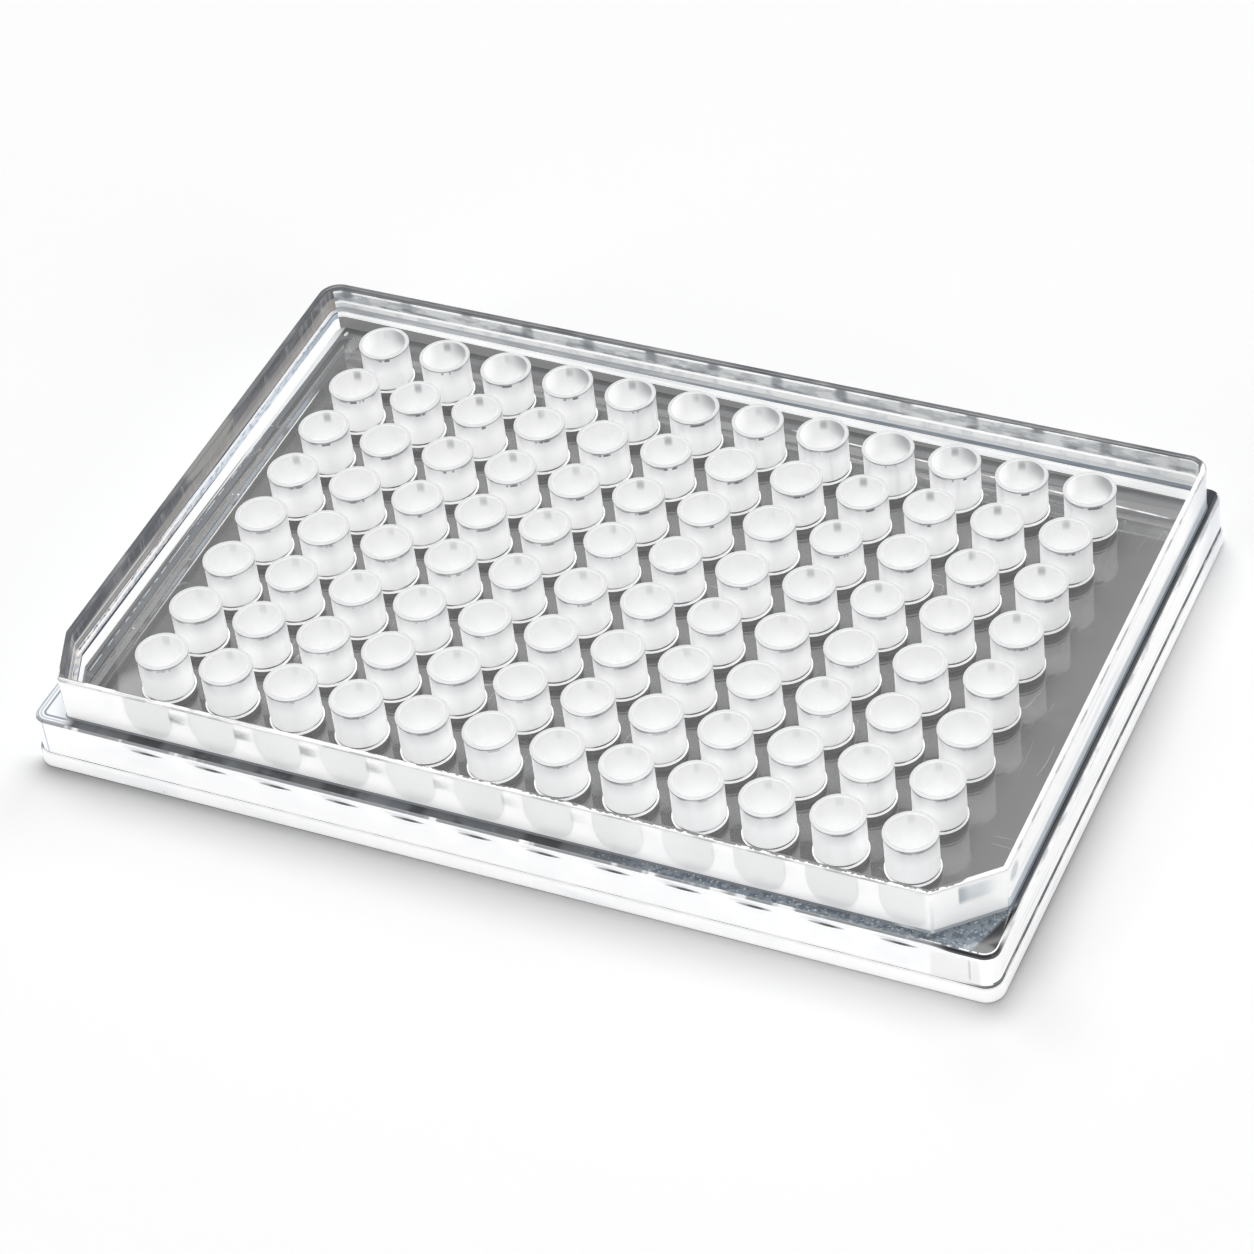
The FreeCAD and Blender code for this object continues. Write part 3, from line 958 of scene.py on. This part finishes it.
def outer_end():
    """Outer faces of the end walls: clear above, blue-grey near the ledge."""
    paint = clear("outer_end")
    y, z = paint.y, paint.z
    far_faces(paint)
    paint.cover(paint.rise(z, 9.5, 9.1), "c8d1da", 0.85)
    paint.cover(paint.clouds((3, 30, 0.5), 2.0, 2.0, 0.55, 0.7), "d0d8e0", 0.5)
    paint.cover(paint.rise(z, 7.95, 7.75), "707882", 0.85)
    paint.cover(paint.blob(y, z, (-32.5, 12.0), (1.3, 1.1), 0.7), "b8bec4", 0.8)
    # painted glow in the surface's own colour
    return paint.done(CLEAR_FACE_GLOW)


def ledge():
    """The lid ledge: slate in runs that follow the wells, speckled towards the right corner."""
    paint = Paint("ledge", "646669", 0.12)
    x, y = paint.x, paint.y
    outside = paint.outside()
    runs = paint.rise(paint.positive(paint.cell(x, 1.9)), 3.0, 1.8)
    long_side = paint.rise(paint.positive(x), 61, 60)
    paint.cover((runs, long_side), "383a3e", 0.85)
    paint.cover(paint.clouds((5, 5, 5), 3.0, 2.5, 0.5, 0.7), "848a92", 0.5)
    right = paint.rise(x, 61, 62)
    paint.cover(right, "5e5f61", 0.95)
    paint.cover((right, paint.clouds((1, 5, 1), 3.0, 3.7, 0.45, 0.6)), "484a4d", 0.8)
    paint.cover((right, paint.rise(x, 62.78, 62.66)), "363b41", 0.9)
    paint.cover(paint.rise(x, 63.02, 63.2), "b4b5b6", 0.8)
    speckled = paint.both(paint.rise(x, 8, 24), paint.rise(y, -32, -35), paint.rise(x, 63.4, 63.1))
    paint.cover(speckled, "909ba5", 0.85)
    flecks = paint.clouds((0.7, 0.7, 0.7), 5.0, 1.5, 0.44, 0.6)
    paint.cover((speckled, flecks), "5c6875", 0.85)
    grains = paint.clouds((0.35, 0.35, 0.35), 2.0, 2.5, 0.6, 0.68)
    paint.cover((speckled, grains), "d4dae0", 0.75)
    wedge = paint.rise(paint.slope(y, -0.313, x), 73.3, 73.9)
    paint.cover((wedge, paint.rise(x, 57, 60), paint.rise(y, -28, -33)), "26272a")
    glint = paint.both(paint.rise(x, 52, 55), paint.rise(outside, -0.86, -0.78),
                       paint.rise(y, -33, -36),
                       paint.clouds((1.1, 50, 50), 1.0, 3.0, 0.42, 0.5))
    paint.cover(glint, "fc", 0.95)
    bare = paint.both(paint.rise(x, -57.5, -59.5), paint.rise(y, -32, -36))
    paint.cover(bare, "f2f4f6", 0.95)
    for middle, width, colour in ((-0.74, 0.14, "8c939c"), (-1.1, 0.2, "b8bfc8"),
                                  (-1.62, 0.3, "848c96")):
        line = paint.between(outside, middle - width / 2, middle + width / 2, 0.1)
        paint.cover((bare, line), colour, 0.9)
    # painted glow in the surface's own colour
    return paint.done(0.1)


def corner_lines(paint):
    """Two upright lines where the skirt turns at the front left corner."""
    x = paint.x
    fades = paint.clouds((50, 50, 1.5), 1.0, 2.7, 0.3, 0.6, 0.5)
    outline = paint.both(paint.rise(x, -62.7, -62.85), paint.rise(paint.y, -36, -39), fades)
    paint.cover(outline, "74808e", 0.85)
    inner_line = paint.both(paint.between(x, -61.95, -61.65, 0.15), paint.rise(paint.y, -41, -41.4))
    paint.cover(inner_line, "b4bec8", 0.7)


def skirt_side():
    """Skirt along the long sides: a short dark dash under each well, and a fine line above."""
    paint = clear("skirt_side")
    x, z = paint.x, paint.z
    far_faces(paint)
    paint.cover(paint.clouds((6, 6, 3), 2.0, 6.0, 0.5, 0.8), "e8ecf1", 0.7)
    cell = paint.cell(x, 2.3)
    on_field = paint.between(x, -53, 55.2, 1)
    body = paint.between(paint.cell(x, 2.9), -3.1, 3.1, 0.8)
    paint.cover((body, on_field, paint.rise(z, 2.8, 5.4)), "f0f2f4", 0.5)
    glint = paint.blob(cell, z, (-1.2, 6.72), (2.3, 0.16), 0.8)
    paint.cover((glint, on_field), "b4bcc6", 0.5)
    dash = paint.blob(cell, z, (0, 6.3), (2.2, 0.25), 0.6)
    paint.cover((dash, on_field), "5c6066", 0.75)
    core = paint.blob(cell, z, (0.2, 6.27), (1.1, 0.17), 0.5)
    paint.cover((core, on_field), "20242a", 0.85)
    facet = paint.both(paint.between(x, 55.5, 61.6, 0.5), paint.rise(z, 6.6, 6.2))
    paint.cover(facet, "e8", 0.8)
    paint.cover((paint.between(x, 60.2, 60.5, 0.2), paint.between(z, 3, 6.4, 1)), "b4b6b8", 0.6)
    corner_lines(paint)
    pieces = paint.clouds((2.5, 50, 50), 2.0, 8.0, 0.3, 0.45)
    paint.cover((paint.rise(z, 7.18, 7.3), pieces), "5c6066", 0.8)
    paint.cover((paint.rise(x, 59, 62.5), paint.rise(z, 2.62, 2.5)), "505358", 0.9)
    rim = paint.minus(z, paint.rise(x, 55, 59, 7.2, 6.9))
    paint.cover((paint.rise(x, 55, 58), paint.rise(rim, -0.05, 0.05)), "14171c", 0.96)
    # painted glow in the surface's own colour
    return paint.done(0.3)


def skirt_end():
    """Skirt along the ends: long pale streaks."""
    paint = clear("skirt_end")
    x, y, z = paint.x, paint.y, paint.z
    far_faces(paint)
    paint.cover(streaky(paint, 3.0, 20.0, 0.4, 0.55, 0.66), "d8dde2", 0.6)
    paint.cover((paint.rise(z, 6.95, 7.15), streaky(paint, 8.0, 4.0, 0.6, 0.4, 0.6)), "b0b2b4", 0.7)
    paint.cover(paint.rise(z, 2.85, 2.75), "54575b", 0.95)
    corner_lines(paint)
    rim = paint.both(paint.rise(z, 6.8, 6.9), paint.rise(y, -37, -41), paint.rise(x, 60, 62))
    paint.cover(rim, "181b20", 0.95)
    # painted glow in the surface's own colour
    return paint.done(0.28)


def band():
    """The foot band: clear, with faint grey clouds and a few specks towards the left."""
    paint = clear("band")
    far_faces(paint)
    paint.cover(paint.clouds((8, 8, 2), 3.0, 1.6, 0.5, 0.75), "e8ebef", 0.7)
    specks = paint.both(paint.specks(2.6, 0.22, 4.2, 0.35), paint.rise(paint.x, -20, -50))
    paint.cover(specks, "9ca4b0", 0.6)
    dark_corner = paint.both(paint.rise(paint.x, -62.6, -63.2), paint.rise(paint.y, -36, -40),
                             paint.rise(paint.z, 0.9, 1.7))
    paint.cover(dark_corner, "707c8a", 0.7)
    # painted glow in the surface's own colour
    return paint.done(0.34)


def band_step_side():
    """The fine line along the top of the foot band at the long sides, darker at its two ends."""
    paint = clear("band_step_side")
    uneven = paint.clouds((4, 4, 2), 2.0, 2.8, 0.35, 0.6, 0.4)
    paint.cover(uneven, "b4b7bb", 0.75)
    left = paint.both(paint.rise(paint.x, -30, -58), uneven)
    paint.cover(left, "8c94a0", 0.8)
    paint.cover(paint.rise(paint.x, 57, 61), "404246", 0.9)
    # painted glow in the surface's own colour
    return paint.done(CLEAR_FACE_GLOW)


def band_step_end():
    """The same line at the ends: dark and broken."""
    paint = clear("band_step_end")
    paint.cover(paint.clouds((2, 3, 2), 2.0, 2.8, 0.3, 0.5, 0.5), "484a4e", 0.95)
    # painted glow in the surface's own colour
    return paint.done(CLEAR_FACE_GLOW)


def inside_and_foot(name, colour):
    """Faces inside the skirt and under its foot."""
    paint = Paint(name, colour, 0.25)
    paint.cover(paint.clouds((9, 9, 2), 3.0, 4.6, 0.45, 0.7), "c4c8cc", 0.6)
    paint.dent(paint.noise((2, 2, 2), 2.0, 3.9), 0.01)
    return paint.done()


finishes = (
    deck_under, deck_top, well_outside, well_lip, well_bore, well_foot, well_in_deck, well_under,
    inner_side, inner_end, step_side, step_end, border_top, edge, outer_side, outer_end, ledge,
    skirt_side, skirt_end, band, band_step_side, band_step_end,
)
materials = {finish.__name__: finish() for finish in finishes}
materials["skirt_inside"] = inside_and_foot("skirt_inside", "e0e2e4")
materials["foot"] = inside_and_foot("foot", "f0")


# ---- floor, lights and camera ----
def make_floor():
    mesh = bpy.data.meshes.new("floor")
    reach = 3.0
    corners = [(-reach, -reach, 0), (reach, -reach, 0), (reach, reach, 0), (-reach, reach, 0)]
    mesh.from_pydata(corners, [], [(0, 1, 2, 3)])
    paint = Paint("floor", "fd", 1.0)
    x, y = paint.x, paint.y
    away = paint.outside()
    contact, front_fade, right_fade = -1.5, -144.0, -80.0      # mm, mm squared and mm squared
    near = paint.fade(away, contact)
    square = paint.both(away, away)
    front = paint.both(paint.rise(y, -40, -44), paint.rise(x, -70, -62))
    past_corner = paint.rise(paint.plus(x, y), 11, 31)
    before_corner = paint.minus(1.0, past_corner)
    leftness = paint.either(paint.slope(x, -1 / 105, 50 / 105), 0.0)
    steep = paint.both(paint.math("POWER", leftness, 1.3), 2.1)
    near_share = paint.either(paint.both(front, steep, before_corner),
                              paint.both(past_corner, paint.rise(y, 45, -30, 0.3, 1.45)),
                              paint.rise(x, -62, -66, 0.2, 0.5))
    wide_front = paint.both(paint.fade(square, front_fade), front,
                            paint.rise(x, 0, 60, 0.95, 0.5), before_corner)
    wide_right = paint.both(paint.fade(square, right_fade), past_corner,
                            paint.rise(y, 45, 0, 0.3, 1.05))
    wide_left = paint.fade(square, front_fade)
    wide = paint.either(wide_front, wide_right, paint.both(wide_left, 0.2))
    shade = paint.plus(paint.both(near, near_share, 0.3), paint.both(wide, 0.27))
    paint.cover(shade, "989899")
    paint.shader.inputs["Specular IOR Level"].default_value = 0.0
    mesh.materials.append(paint.done())
    floor = add_object("floor", mesh)


def look_from(thing, aim, azimuth, elevation, distance, roll=0.0):
    """Place a lamp or camera on a sphere round aim, looking at it. Millimetres and degrees."""
    a, e = math.radians(azimuth), math.radians(elevation)
    back = Vector((math.sin(a) * math.cos(e), -math.cos(a) * math.cos(e), math.sin(e)))
    thing.location = (Vector(aim) + back * distance) * MM
    thing.rotation_mode = "QUATERNION"
    turn = Quaternion((0, 0, 1), math.radians(roll))
    thing.rotation_quaternion = (-back).to_track_quat("-Z", "Y") @ turn


def make_lamp(name, azimuth, elevation, width, share):
    """Very large far lamp, width degrees across, that gives the floor its share of the light."""
    data = bpy.data.lights.new(name, "SUN")
    data.angle = math.radians(width)
    data.energy = share * math.pi / math.sin(math.radians(elevation))
    lamp = add_object(name, data)
    look_from(lamp, (0, 0, 0), azimuth, elevation, distance=600)


def make_camera():
    data = bpy.data.cameras.new("camera")
    data.sensor_width = 36
    data.lens = 120.94
    data.clip_start, data.clip_end = 0.01, 20
    camera = add_object("camera", data)
    look_from(camera, aim=(-2.88, 3.05, 0), azimuth=28.57, elevation=42.41, distance=535.97, roll=-7.31)
    bpy.context.scene.camera = camera


def make_world():
    world = bpy.data.worlds.new("studio")
    world.use_nodes = True
    background = world.node_tree.nodes["Background"]
    background.inputs["Color"].default_value = (1, 1, 1, 1)
    background.inputs["Strength"].default_value = WORLD_STRENGTH
    bpy.context.scene.world = world


plate = make_frame(materials)
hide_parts("plate_body")
make_wells(materials)
make_floor()
make_world()
make_lamp("overhead", 206, 70, 38, 0.65)
make_lamp("front_left", -40, 16, 24, 0.035)
make_lamp("front_right", 62, 16, 24, 0.035)
make_camera()

bpy.context.scene.view_settings.view_transform = "Standard"
